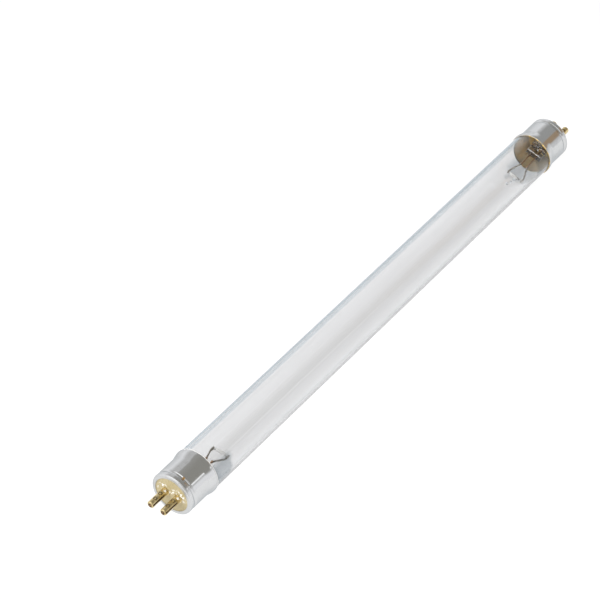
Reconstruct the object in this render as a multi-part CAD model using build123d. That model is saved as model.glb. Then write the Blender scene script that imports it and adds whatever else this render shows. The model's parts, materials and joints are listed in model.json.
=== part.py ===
from build123d import *
import os
from math import sqrt

os.makedirs("parts", exist_ok=True)

# A slim tubular discharge lamp with a two-pin cap at each end. Sizes are in millimetres.
# The lamp lies along X with its middle at the origin, the pins of an end are spread along Y, Z is up.
# An end is drawn once, with x running inwards from its end face, and then placed at both ends.

# Whole lamp
face_to_face = 212.0
pin_len = 7.1
pin_pitch = 4.75

# Glass tube, drawn in to a neck inside each cap
tube_r = 7.6
tube_wall = 0.75
neck_drop = 1.25
neck_len = 4.8
neck_slope = 3.2
neck_blend = 1.2
tube_inset = 0.4

# End cap, spun from thin sheet: lip, rim, groove, body, shoulder and collar
cap_len = 12.4
sheet = 0.2
lip_width = 1.35
rim_round = 0.7
body_step = 0.24
groove_depth = 0.25
groove_floor = 0.4
groove_slope = 0.5
shoulder_len = 2.3
shoulder_blend = 3.0
collar_len = 1.0

# Cement between cap and glass, with a small bead at the mouth
cement_film = 0.1
cement_len = 8.2
bead_len = 0.5
bead_edge = 0.05
bead_crown = 0.7

# Insulating disc held between the lip and the groove
disc_t = 1.2
disc_gap = 0.06
disc_play = 0.1

# Hollow pin, riveted through the disc
pin_r = 1.185
pin_bore = 0.6
pin_tip_round = 0.55
pin_tip_wall = 0.4
shank_r = 1.0
flange_r = 1.55
flange_t = 0.3
rivet_r = 1.5
rivet_t = 0.3
dent_len = 1.5
dent_r = 0.45
dent_depth = 0.16
dent_steps = (2.3, 4.7)

# Stem: a bell flare sealed into the neck, drawn out and pinched flat round the wires
stem_wall = 0.7
stem_r = 2.9
seal_len = 0.9
flare_len = 2.3
flare_lean = 0.5
flare_round = 1.3
pinch_blend = 1.8
pinch_len = 3.6
pinch_w = 5.8
pinch_t = 2.2
pinch_swell = 0.2
pinch_round = 0.45
pinch_edge = 0.2
hollow_len = 1.1
hollow_w = 3.4
hollow_t = 1.4

# The right end's pinch and wires stand off the axis, a little turned and leaning
mount_shift = 0.7
mount_turn = 17.0
mount_lean = 3.0

# Wires from the pins through the stem to the cathode
outer_lead_r = 0.2
outer_lead_bend = 1.2
outer_lead_run = 1.6
seal_wire_r = 0.25
seal_pitch = 2.2
seal_reach = 5.6
seal_straight = 0.6
seal_drop = 0.5
seal_bend = 3.0
knot_r = 0.45
knot_len = 0.9
knot_edge = 0.15
inner_lead_r = 0.3
inner_lead_reach = 4.2
inner_lead_drop = 1.3
tip_pitch = 5.6
clamp_len = 2.0
clamp_h = 0.9
clamp_t = 0.55
clamp_round = 0.2
clamp_to_leg = 1.2

# Cathode coil
coil_r = 0.42
coil_wire_r = 0.15
coil_turns = 7
coil_len = 3.9
coil_leg_over = 0.2

# Tipped-off exhaust tube, at the right end only
exhaust_r = 0.65
exhaust_bore = 0.35
exhaust_tip = 0.9
exhaust_nose = 0.27
exhaust_nose_r = 0.45
exhaust_end_r = 0.13
exhaust_gap = 0.7
port_depth = 1.3

# Mercury drops on the lower wall: radius, distance from the right end face, turn from the bottom
drops = ((0.62, 20.8, 6.0), (0.42, 22.4, 9.0), (0.5, 24.2, 13.0))
drop_sink = 0.3

# Radii and stations that follow from the sizes above
neck_r = tube_r - neck_drop
bore_r = tube_r - tube_wall
seal_r = neck_r - tube_wall
body_r = tube_r - body_step
collar_r = tube_r + cement_film + sheet
lip_r = body_r - lip_width
groove_r = body_r - groove_depth
half = face_to_face / 2
rim_len = sheet + disc_t + disc_play
groove_a = rim_len + groove_slope
groove_b = groove_a + groove_floor
body_a = groove_b + groove_slope
shoulder_b = cap_len - collar_len
shoulder_a = shoulder_b - shoulder_len
neck_b = cap_len - tube_inset
neck_a = neck_b - neck_slope
tube_end = neck_a - neck_len
flare_a = tube_end + seal_len
flare_b = flare_a + flare_len
pinch_a = flare_b + pinch_blend
pinch_b = pinch_a + pinch_len
hollow_end = flare_b + hollow_len
disc_back = sheet + disc_t
rivet_back = disc_back + rivet_t
knot_x = pinch_b + seal_reach
clamp_x = knot_x + inner_lead_reach
clamp_z = -seal_drop - inner_lead_drop
coil_leg_x = clamp_x + clamp_to_leg


def spin(*edges):
    """Turn a closed half profile, drawn as distance and radius, about the lamp's axis."""
    return revolve(make_face(Curve() + list(edges)), Axis.X)


def wire(path, r):
    """A round wire along a path."""
    return sweep(Plane(origin=path @ 0, z_dir=path % 0) * Circle(r), path=path)


def glass_tube():
    """The clear tube, open at both ends, with a drawn-in neck at each."""

    def wall(inset):
        near = [(tube_end, neck_r - inset), (neck_a, neck_r - inset), (neck_b, tube_r - inset)]
        left = [(x - half, r) for x, r in near]
        right = [(half - x, r) for x, r in reversed(near)]
        return FilletPolyline(*left, *right, radius=neck_blend)

    outside, inside = wall(0), wall(tube_wall)
    return spin(outside, inside, Line(outside @ 0, inside @ 0), Line(outside @ 1, inside @ 1))


def end_cap():
    """The cap's thin sheet, from the lip on the end face to the mouth on the glass."""

    def skin(inset):
        r = body_r - inset
        rim = [(rim_len, r), (groove_a, groove_r - inset), (groove_b, groove_r - inset), (body_a, r)]
        return rim + [(shoulder_a, r), (shoulder_b, collar_r - inset), (cap_len, collar_r - inset)]

    rounds = [rim_round, 0, 0, 0, 0, shoulder_blend, shoulder_blend]
    outside = FilletPolyline((0, lip_r), (0, body_r), *skin(0), radius=rounds)
    fold = [(sheet, lip_r), (sheet, body_r - rim_round), (rim_round, body_r - sheet)]
    inside = Polyline(*fold, *skin(sheet))
    return spin(outside, inside, Line(outside @ 0, inside @ 0), Line(outside @ 1, inside @ 1))


def cement():
    """The ring of cement that fills the cap round the glass and ends in a bead at the mouth."""
    back = cap_len - cement_len
    inner_r = collar_r - sheet
    bead_r = collar_r - bead_edge
    bead_end = cap_len + bead_len
    cap_side = Polyline(
        (back, body_r - sheet), (shoulder_a, body_r - sheet), (shoulder_b, inner_r), (cap_len, inner_r))
    glass_side = FilletPolyline(
        (back, neck_r), (neck_a, neck_r), (neck_b, tube_r), (bead_end, tube_r), radius=neck_blend)
    crown = (cap_len + bead_crown * bead_len, tube_r + bead_crown * (bead_r - tube_r))
    bead = Polyline((cap_len, inner_r), (cap_len, bead_r), crown, (bead_end, tube_r))
    return spin(cap_side, bead, glass_side, Line(cap_side @ 0, glass_side @ 0))


def disc():
    """The insulating disc behind the lip, with a hole for each pin's shank."""
    r = body_r - sheet - disc_gap
    plate = extrude(Plane.YZ.offset(sheet) * Circle(r), disc_t)
    plate = chamfer(plate.faces().sort_by(Axis.X)[0].edges(), rim_round - sheet)
    for side in (-1, 1):
        hole = Plane.YZ.offset(sheet) * Pos(side * pin_pitch / 2, 0) * Circle(shank_r)
        plate -= extrude(hole, disc_t)
    return plate


def pin():
    """A hollow round-nosed pin on the axis, with its flange, shank and rivet head, and crimp dents."""
    nose = FilletPolyline(
        (-pin_len, outer_lead_r), (-pin_len, pin_r), (sheet - flange_t, pin_r), radius=[pin_tip_round])
    throat = -pin_len + pin_tip_wall
    back = Polyline(
        (sheet - flange_t, pin_r), (sheet - flange_t, flange_r), (sheet, flange_r), (sheet, shank_r),
        (disc_back, shank_r), (disc_back, rivet_r), (rivet_back, rivet_r), (rivet_back, pin_bore),
        (throat + pin_bore - outer_lead_r, pin_bore), (throat, outer_lead_r), (-pin_len, outer_lead_r))
    body = spin(nose, back)
    for step in dent_steps:
        for side in (-1, 1):
            centre = side * (pin_r + dent_r - dent_depth)
            cutter = Pos(-step, 0, centre) * Rot(0, 90, 0) * Cylinder(dent_r, dent_len)
            body -= cutter
    return body


def seal_wire(side):
    """The copper-clad wire sealed in the pinch, with the welded knot at its inner end."""
    y = side * seal_pitch / 2
    path = FilletPolyline(
        (hollow_end, y, 0), (pinch_b + seal_straight, y, 0), (knot_x, y, -seal_drop), radius=seal_bend)
    knot = Cylinder(knot_r, knot_len)
    knot = chamfer(knot.edges(), knot_edge)
    return wire(path, seal_wire_r) + Pos(knot_x, y, -seal_drop) * Rot(0, 90, 0) * knot


def stem(mount, with_port):
    """The flared and pinched glass stem, with the wires' places in it and, at one end, the exhaust port."""
    air_r = stem_r - stem_wall
    outside = FilletPolyline(
        (flare_a, seal_r), (flare_a + flare_lean, stem_r), (flare_b, stem_r), radius=[flare_round])
    inside = FilletPolyline(
        (tube_end, seal_r - stem_wall), (tube_end + flare_lean, air_r), (flare_b, air_r),
        radius=[flare_round + stem_wall])
    rim = Polyline((tube_end, seal_r - stem_wall), (tube_end, seal_r), (flare_a, seal_r))
    glass = spin(rim, outside, Line((flare_b, stem_r), (flare_b, air_r)), inside)
    throat = Plane.YZ.offset(flare_b)
    swell = Plane.YZ.offset(pinch_a) * Ellipse(pinch_w / 2, pinch_t / 2 + pinch_swell)
    glass += loft([throat * Circle(stem_r), mount * swell])
    flat = extrude(Plane.YZ.offset(pinch_a) * RectangleRounded(pinch_w, pinch_t, pinch_round), pinch_len)
    glass += mount * chamfer(flat.faces().sort_by(Axis.X)[-1].edges(), pinch_edge)
    hollow = Plane.YZ.offset(hollow_end) * Ellipse(hollow_w / 2, hollow_t / 2)
    glass -= loft([throat * Circle(air_r), mount * hollow])
    for side in (-1, 1):
        glass -= mount * seal_wire(side)
    if with_port:
        x = hollow_end + port_depth
        glass -= mount * wire(Line((hollow_end - hollow_len / 2, 0, 0), (x, 0, 0)), exhaust_bore)
        glass -= mount * wire(Line((x, 0, 0), (x, 0, stem_r)), exhaust_bore)
    return glass


def exhaust_tube():
    """The exhaust tube, fused to the floor of the stem's hollow and tipped off behind the disc."""
    start = hollow_end
    tip = rivet_back + exhaust_gap
    outside = Polyline(
        (start, exhaust_bore), (start, exhaust_r), (tip + exhaust_tip, exhaust_r),
        (tip + exhaust_nose, exhaust_nose_r), (tip, exhaust_end_r), (tip, 0))
    inside = Polyline(
        (tip, 0), (tip + exhaust_tip, 0), (tip + exhaust_tip + exhaust_bore, exhaust_bore),
        (start, exhaust_bore))
    return spin(outside, inside)


def outer_lead(mount, side):
    """The copper wire from the stem's hollow through the pin to its nose."""
    start = mount * Pos(hollow_end, side * seal_pitch / 2, 0)
    bend = start * Pos(-outer_lead_run, 0, 0)
    y = side * pin_pitch / 2
    path = FilletPolyline(
        start.position, bend.position, (rivet_back + outer_lead_run, y, 0), (-pin_len, y, 0),
        radius=outer_lead_bend)
    return wire(path, outer_lead_r)


def inner_lead(side):
    """The wire from the knot to the cathode, its end folded into a clamp on the coil's leg."""
    start = Vector(knot_x, side * seal_pitch / 2, -seal_drop)
    end = Vector(clamp_x, side * tip_pitch / 2, clamp_z)
    hook = Box(clamp_len, clamp_t, clamp_h, align=(Align.MIN, Align.CENTER, Align.CENTER))
    hook = fillet(hook.edges().filter_by(Axis.Y), clamp_round)
    lead = wire(Line(start, end + (end - start).normalized() * inner_lead_r), inner_lead_r)
    lead += Pos(*end) * hook
    lead -= seal_wire(side)
    reach = tip_pitch / 2 + clamp_t
    return lead - wire(Line((coil_leg_x, -reach, clamp_z), (coil_leg_x, reach, clamp_z)), coil_wire_r)


def filament():
    """The cathode: a true coil across the lamp with a straight leg held in each clamp."""
    across = Plane(
        origin=(coil_leg_x + coil_r, -coil_len / 2, clamp_z), x_dir=(-1, 0, 0), z_dir=(0, 1, 0))
    path = across * Helix(coil_len / coil_turns, coil_len, coil_r)
    section = Plane(origin=path @ 0, z_dir=path % 0) * RegularPolygon(coil_wire_r, 6)
    coil = sweep(section, path=path, is_frenet=True)
    reach = tip_pitch / 2 + clamp_t / 2 + coil_leg_over
    for y in (-1, 1):
        joint = y * (coil_len / 2 - coil_wire_r)
        coil += wire(Line((coil_leg_x, joint, clamp_z), (coil_leg_x, y * reach, clamp_z)), coil_wire_r)
    return coil


def mercury_drop(r, distance, turn):
    """A drop that lies on the tube's lower wall."""
    foot = r * (1 - drop_sink)
    foot_r = sqrt(r**2 - foot**2)
    floor = sqrt(bore_r**2 - foot_r**2)
    outline = Curve() + [Line((0, -foot), (0, r)), Line((0, -foot), (foot_r, -foot))]
    outline += ThreePointArc((foot_r, -foot), (r, 0), (0, r))
    drop = revolve(Plane.XZ * make_face(outline), Axis.Z)
    return Pos(half - distance, 0, 0) * Rot(turn, 0, 0) * Pos(0, 0, foot - floor) * drop


ends = {"left": Location((-half, 0, 0)), "right": Location((half, 0, 0), (0, 0, 180))}
off_axis = Pos(hollow_end, mount_shift, 0) * Rot(-mount_turn, 0, mount_lean) * Pos(-hollow_end, 0, 0)
mounts = {"left": Location(), "right": off_axis}
sides = {"left": {-1: "front", 1: "rear"}, "right": {-1: "rear", 1: "front"}}

parts = {"glass_tube": glass_tube()}
for end, place in ends.items():
    mount = mounts[end]
    parts[f"{end}_end_cap"] = place * end_cap()
    parts[f"{end}_cement"] = place * cement()
    parts[f"{end}_insulator"] = place * disc()
    parts[f"{end}_stem"] = place * stem(mount, end == "right")
    parts[f"{end}_filament"] = place * mount * filament()
    for side, name in sides[end].items():
        parts[f"{end}_{name}_pin"] = place * Pos(0, side * pin_pitch / 2, 0) * pin()
        parts[f"{end}_{name}_outer_lead"] = place * outer_lead(mount, side)
        parts[f"{end}_{name}_seal_wire"] = place * mount * seal_wire(side)
        parts[f"{end}_{name}_inner_lead"] = place * mount * inner_lead(side)
parts["exhaust_tube"] = ends["right"] * off_axis * exhaust_tube()
for number, drop in enumerate(drops, 1):
    parts[f"mercury_drop_{number}"] = mercury_drop(*drop)

for name, solid in parts.items():
    solid.label = name
    export_step(solid, f"parts/{name}.step")
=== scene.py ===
import json
from collections import namedtuple
from math import atan2, ceil, cos, exp, hypot, pi, radians, sin, sqrt, tan

import bmesh
import bpy
from bpy.props import FloatProperty, FloatVectorProperty, IntProperty, PointerProperty
from mathutils import Matrix, Vector, noise


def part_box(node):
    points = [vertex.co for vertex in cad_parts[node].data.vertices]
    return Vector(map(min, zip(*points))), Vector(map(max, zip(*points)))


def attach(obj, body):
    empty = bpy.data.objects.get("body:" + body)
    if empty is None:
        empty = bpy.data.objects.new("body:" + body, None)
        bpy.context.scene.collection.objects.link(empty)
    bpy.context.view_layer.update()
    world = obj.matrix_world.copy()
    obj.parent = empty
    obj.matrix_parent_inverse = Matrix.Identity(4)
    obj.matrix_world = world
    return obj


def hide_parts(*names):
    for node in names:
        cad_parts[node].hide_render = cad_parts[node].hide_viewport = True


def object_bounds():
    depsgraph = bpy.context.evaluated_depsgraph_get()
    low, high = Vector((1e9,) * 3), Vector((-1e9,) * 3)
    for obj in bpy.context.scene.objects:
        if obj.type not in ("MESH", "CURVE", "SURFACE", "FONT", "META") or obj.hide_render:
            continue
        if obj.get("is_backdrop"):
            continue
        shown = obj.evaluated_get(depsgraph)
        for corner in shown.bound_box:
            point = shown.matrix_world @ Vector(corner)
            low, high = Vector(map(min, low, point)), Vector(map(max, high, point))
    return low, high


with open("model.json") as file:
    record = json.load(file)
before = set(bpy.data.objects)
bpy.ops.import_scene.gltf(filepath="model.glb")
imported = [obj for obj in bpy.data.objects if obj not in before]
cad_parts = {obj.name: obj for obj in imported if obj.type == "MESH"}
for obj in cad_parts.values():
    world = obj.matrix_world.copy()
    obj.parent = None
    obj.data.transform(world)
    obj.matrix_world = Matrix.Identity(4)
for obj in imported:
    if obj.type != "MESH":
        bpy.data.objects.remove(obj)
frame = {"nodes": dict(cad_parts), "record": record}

# A clear tubular discharge lamp: glass tube, bright caps, brass pins, and the wires and cathodes inside.
# An end of the lamp is drawn with x running inwards from its end face, and then placed at both ends.

bl_info = {
    "name": "Germicidal lamp looks",
    "version": (1, 0, 0),
    "blender": (4, 5, 0),
    "location": "3D View > Sidebar > Lamp",
    "description": "Dresses the solids of a clear germicidal lamp with fine meshes and finishes",
    "category": "Object",
}

MM = 0.001
BODY = "root"
MARK = "mark"
ENDS = ("left", "right")
GLASS_IOR = 1.5
STEM_IOR = 1.27

# Points closer together than POLE are one point. An edge that bends by more than SHARP is kept crisp.
POLE = 1e-7
SHARP = radians(38)

# Powers of an oval: an ellipse, and the rounded oblong of a pinch.
ROUND = 2
FLAT = 7

# Direction of the side of the tube that carries the film, which is its front, a little downwards.
FILM_SIDE = (0, -0.8, -0.6)

# A point of a finish: its vector, its coordinates, and its distance from the lamp's middle along the lamp.
Spot = namedtuple("Spot", ("whole", "x", "y", "z", "along"))

# The name of a pin or wire, by the side of the drawn end that it lies on.
SIDES = {"left": {-1: "front", 1: "rear"}, "right": {-1: "rear", 1: "front"}}

CAD_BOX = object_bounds()
FACE = -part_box("left_end_cap")[0].x
CAP_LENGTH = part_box("left_end_cap")[1].x + FACE
COLLAR_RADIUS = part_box("left_end_cap")[1].z
TUBE_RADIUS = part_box("glass_tube")[1].z
TUBE_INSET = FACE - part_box("glass_tube")[1].x
PIN_LENGTH = -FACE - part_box("left_front_pin")[0].x
PIN_RADIUS = frame["record"]["mounts"][0]["dims"]["r_mm"] * MM
PIN_PITCH = 2 * abs(frame["record"]["mounts"][0]["pos_m"][1])
FLOOR_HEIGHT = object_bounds()[0][2]


# Settings


def size(name, millimetres, text):
    """A length that a user may set, given here in millimetres."""
    return FloatProperty(name=name, description=text, default=millimetres * MM, unit="LENGTH", precision=5)


def turn(name, degrees, text):
    """An angle that a user may set, given here in degrees."""
    return FloatProperty(
        name=name, description=text, default=radians(degrees), unit="ROTATION", subtype="ANGLE")


def share(name, value, text):
    """A plain number between nothing and all."""
    return FloatProperty(name=name, description=text, default=value, min=0.0, max=1.0, subtype="FACTOR")


def amount(name, value, text):
    """A plain number from nothing upwards."""
    return FloatProperty(name=name, description=text, default=value, min=0.0)


def tint(name, colour, text):
    """A colour that a user may set."""
    return FloatVectorProperty(
        name=name, description=text, default=colour, size=3, min=0.0, max=1.0, subtype="COLOR")


def count(name, number, text):
    """A number of copies, turns or steps."""
    return IntProperty(name=name, description=text, default=number, min=1)


class LampTubeSettings(bpy.types.PropertyGroup):
    """Sizes and finish of the clear tube."""

    radius: size("Radius", TUBE_RADIUS / MM, "Outer radius of the tube")
    wall: size("Wall", 0.75, "Thickness of the glass")
    neck_drop: size("Neck drop", 1.25, "How far the necks are drawn in")
    neck_length: size("Neck length", 4.8, "Straight length of a neck")
    neck_slope: size("Neck slope", 3.2, "Length of the slope from the tube to a neck")
    neck_blend: size("Neck blend", 1.2, "Rounding where a slope begins and ends")
    segments: count("Segments", 512, "Steps round the tube")
    clear: tint("Clear glass", (0.885, 0.88, 0.883), "Colour of the clean glass")
    shaded: tint("Shaded glass", (0.87, 0.865, 0.868), "Colour of the glass in its darker streaks")
    # Painted shadow: grey along the bottom of the tube, for the lamp's shade on the floor seen through the
    # glass.
    painted_shadow: tint("Bloom", (0.775, 0.77, 0.77), "Faint grey bloom along the bottom of the tube")
    # Seen edge on, the glass is painted darker: painted shade at the front edges, a painted bluish
    # reflection at the rear edges.
    rim: tint("Grazed glass", (0.2, 0.202, 0.204), "Colour of the glass where it is seen edge on")
    bore_edge_shade: tint("Grazed bore", (0.56, 0.56, 0.56), "Colour of the bore where it is seen edge on")
    rear_edge_reflection: tint("Grazed rear", (0.185, 0.26, 0.32), "Colour of the rear side where it is seen edge on")
    rear_bore_reflection: tint("Grazed rear bore", (0.42, 0.48, 0.53), "Colour of the bore's rear side, seen edge on")
    film: tint("Film", (0.53, 0.555, 0.575), "Grey film that the cathodes leave near the ends")
    absorbed: tint("Edge tint", (0.62, 0.77, 0.84), "Colour that is left by a long way through the wall")
    density: amount("Edge density", 60.0, "Strength of the edge tint")
    film_full: size("Film place", 19.0, "From an end face to where the film is full")
    film_fade: size("Film fade", 2.5, "Length over which the film fades in")
    film_ragged: size("Film edge", 2.2, "How uneven the edge of the film is")
    mercury: tint("Mercury", (0.8, 0.83, 0.86), "Liquid metal of the drops")
    mercury_dull: tint("Dull mercury", (0.66, 0.69, 0.73), "Skin on the drops")


class LampCapSettings(bpy.types.PropertyGroup):
    """Sizes and finish of the caps, their cement and their discs."""

    sheet: size("Sheet", 0.2, "Thickness of the cap's sheet")
    lip: size("Lip", 1.35, "Width of the lip on the end face")
    rim_round: size("Rim rounding", 0.7, "Rounding of the rim's edge")
    rim_length: size("Rim length", 1.5, "From the end face to the groove")
    groove_depth: size("Groove depth", 0.25, "Depth of the rolled groove")
    groove_slope: size("Groove slope", 0.42, "Length of each side of the groove")
    groove_floor: size("Groove floor", 0.56, "Width of the groove's floor")
    groove_round: size("Groove rounding", 0.45, "Rounding of the groove's outer corners")
    groove_hollow: size("Groove hollow", 0.9, "Rounding of the groove's floor")
    body_step: size("Body step", 0.24, "How far the cap's body lies inside the tube's radius")
    shoulder: size("Shoulder", 2.3, "Length of the shoulder")
    shoulder_round: size("Shoulder rounding", 3.0, "Rounding at both ends of the shoulder")
    collar: size("Collar", 1.0, "Length of the collar on the glass")
    mouth_round: size("Mouth rounding", 0.18, "Rounding of the edge at the mouth")
    cement_length: size("Cement length", 8.2, "How far the cement reaches into the cap")
    bead: size("Bead", 0.5, "Length of the bead of cement at the mouth")
    cement_bite: size("Cement bite", 0.03, "How far the cement reaches into the glass, so that no gap shows")
    left_bead: share("Left bead", 0.7, "Part of the bead that is left at the left end")
    right_bead: share("Right bead", 0.3, "Part of the bead that is left at the right end")
    # These set a brown spot on the left cap's groove.
    groove_spot_turn: turn("Stain turn", 20, "Turn of a spot of cement on the left cap's groove, from the top")
    groove_spot_size: size("Stain size", 0.5, "Half width of that spot")
    segments: count("Segments", 192, "Steps round a cap")
    metal: tint("Metal", (0.63, 0.638, 0.644), "Bright aluminium")
    metal_edge: tint("Metal edge", (0.64, 0.665, 0.685), "Aluminium where it is seen edge on")
    dull: tint("Dull metal", (0.56, 0.56, 0.56), "Aluminium in its duller marks")
    cement: tint("Cement", (0.97, 0.71, 0.37), "Baked cement")
    cement_light: tint("Light cement", (0.99, 0.83, 0.56), "Baked cement in its lighter patches")
    smear: tint("Smear", (0.8, 0.56, 0.25), "Thin cement smeared over the inside of the cap")
    # Brown colour of the spot on the left cap's groove.
    groove_spot: tint("Stain", (0.45, 0.29, 0.14), "Thin cement in the left cap's groove")
    bead_colour: tint("Bead", (0.37, 0.3, 0.19), "Cement at its thin edge at the right end")
    bead_gold: tint("Gold specks", (0.72, 0.5, 0.16), "Bright specks of that edge")
    bead_grey: tint("Grey bead", (0.42, 0.41, 0.39), "That edge on its rear side")
    # Painted highlight: the thin edge of the left end's cement is painted near white, as a light strip along
    # that mouth.
    bead_highlight: tint("Pale bead", (0.9, 0.89, 0.87), "Cement at its thin edge at the left end")
    board: tint("Board", (0.51, 0.43, 0.24), "Tan insulating board")
    # The dark board colour serves the darker fibres and also the painted shade on the board's lower side.
    board_dark_and_shade: tint("Dark board", (0.41, 0.34, 0.18), "Darker fibres of the board")
    # Painted highlight: bright specks on the board's upper side round each pin, where it would catch the
    # light.
    board_glint: tint("Board nick", (0.96, 0.95, 0.92), "Bright nicks that the pressing of the pins leaves")


class LampPinSettings(bpy.types.PropertyGroup):
    """Sizes and finish of the contact pins."""

    radius: size("Radius", PIN_RADIUS / MM, "Radius of a pin")
    length: size("Length", PIN_LENGTH / MM, "From the end face to the nose")
    pitch: size("Pitch", PIN_PITCH / MM, "Distance between the two pins of an end")
    nose: size("Nose rounding", 0.55, "Rounding of the nose")
    edge: size("Edge rounding", 0.1, "Rounding of the small edges")
    foot_round: size("Foot rounding", 0.08, "Rounding where the shaft meets the flange")
    hole: size("Nose hole", 0.2, "Radius of the hole in the nose")
    dimple: size("Nose dimple", 0.3, "Depth of the dimple round the hole")
    bore: size("Bore", 0.6, "Radius of the bore")
    tip_wall: size("Tip wall", 0.4, "Thickness of the nose")
    shank: size("Shank", 1.0, "Radius of the shank in the board")
    flange_radius: size("Flange radius", 1.55, "Radius of the flange on the board")
    flange: size("Flange", 0.3, "Thickness of the flange")
    rivet_radius: size("Rivet radius", 1.5, "Radius of the rivet head behind the board")
    rivet: size("Rivet", 0.3, "Thickness of the rivet head")
    board: size("Board", 1.2, "Thickness of the board")
    dent_depth: size("Dent depth", 0.17, "Depth of a crimp dent")
    dent_length: size("Dent length", 0.62, "Half length of a crimp dent")
    dent_spread: turn("Dent spread", 26, "Half spread of a crimp dent round the pin")
    first_dent: size("First dent", 2.3, "From the end face to the first pair of dents")
    second_dent: size("Second dent", 4.7, "From the end face to the second pair of dents")
    glint_at: size("Glint place", 0.65, "From the end face to the worn spot")
    glint_turn: turn("Glint turn", 118, "Turn of the worn spot round the pin")
    glint_size: size("Glint size", 0.5, "Half width of the worn spot")
    # The streak is a painted dark reflection along one side of each pin.
    streak_turn: turn("Streak turn", 162, "Turn of the burnt streak round the pin")
    streak_width: size("Streak width", 0.3, "Half width of the burnt streak")
    streak: share("Streak", 0.8, "Strength of the burnt streak")
    dark_nose_depth: size("Burn depth", 0.3, "How far back the deposit at the nose hole reaches")
    dark_nose_width: size("Burn width", 0.6, "Half width of the deposit at the nose hole")
    steps: count("Steps", 60, "Steps along a shaft")
    segments: count("Segments", 72, "Steps round a pin")
    brass: tint("Brass", (0.7, 0.58, 0.33), "Plain brass")
    brass_dark: tint("Dark brass", (0.46, 0.34, 0.14), "Brass in its duller marks")
    # Partly tarnish and partly painted: painted shade in the crimp dents and round the nose hole, and a
    # painted dark reflection along one side of each pin.
    tarnish_and_shade: tint("Burnt brass", (0.07, 0.045, 0.025), "Dark deposit in the crimp dents")
    # Painted highlight: a bright spot on top of each pin near its foot, where it would catch the light.
    glint: tint("Glint", (0.97, 0.96, 0.93), "Bright worn spot at the foot of a pin")


class LampStemSettings(bpy.types.PropertyGroup):
    """Sizes and finish of the glass stems and the exhaust tube."""

    wall: size("Wall", 0.7, "Thickness of the stem's glass")
    radius: size("Radius", 2.9, "Radius of the stem behind its pinch")
    seal: size("Seal", 0.9, "Length of the seal to the neck")
    flare: size("Flare", 2.3, "Length of the bell flare")
    blend: size("Blend", 1.8, "Length from the round stem to the pinch")
    pinch: size("Pinch", 3.6, "Length of the flat pinch")
    pinch_width: size("Pinch width", 5.8, "Width of the pinch")
    pinch_thickness: size("Pinch thickness", 2.2, "Thickness of the pinch")
    hollow: size("Hollow", 1.1, "How far the hollow reaches past the flare")
    hollow_width: size("Hollow width", 3.4, "Width of the hollow's floor")
    hollow_thickness: size("Hollow thickness", 1.4, "Thickness of the hollow's floor")
    bell_lean: size("Bell lean", 0.5, "How far the bell leans from its rim to the stem")
    bell_round: size("Bell rounding", 1.3, "Rounding of the bell on its outside")
    edge: size("Pinch edge", 0.35, "Rounding of the pinch's end")
    ridge: size("Ridge", 0.08, "Height of the ridges over the sealed wires")
    ridge_spread: size("Ridge spread", 0.5, "Half width of those ridges")
    brown_fade: size("Brown fade", 0.8, "How far from the bell's end the brown deposit fades, to both sides")
    brown_cover: share("Brown cover", 0.85, "Part of the light that the brown deposit stops")
    mount_shift: size("Mount shift", 0.7, "How far the right end's pinch stands off the axis")
    mount_turn: turn("Mount turn", 17, "How far the right end's pinch is turned")
    mount_lean: turn("Mount lean", 3, "How far the right end's pinch leans")
    exhaust_radius: size("Exhaust radius", 0.65, "Outer radius of the exhaust tube")
    exhaust_bore: size("Exhaust bore", 0.35, "Radius of the exhaust bore")
    exhaust_tip: size("Exhaust tip", 0.9, "Length of the closed tip")
    exhaust_gap: size("Exhaust gap", 0.7, "From the rivet heads to the tip")
    port: size("Port", 1.3, "Depth of the exhaust port in the pinch")
    segments: count("Segments", 120, "Steps round a stem")
    exhaust_segments: count("Exhaust segments", 64, "Steps round the exhaust tube")
    port_sides: count("Port sides", 32, "Steps round the exhaust port")
    clear: tint("Clear glass", (0.97, 0.97, 0.96), "Colour of the stem's glass")
    shaded: tint("Shaded glass", (0.93, 0.93, 0.92), "Colour of the glass in its streaks")
    browned: tint("Browned bell", (0.9, 0.62, 0.19), "Brown deposit on the bell")
    # Partly frosting and partly painted highlight: white on the pinch's edges, stronger on its upper side.
    frost_and_highlight: tint("Frost", (0.95, 0.95, 0.94), "Pressed edges of the pinch, where the glass is frosted")


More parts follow.
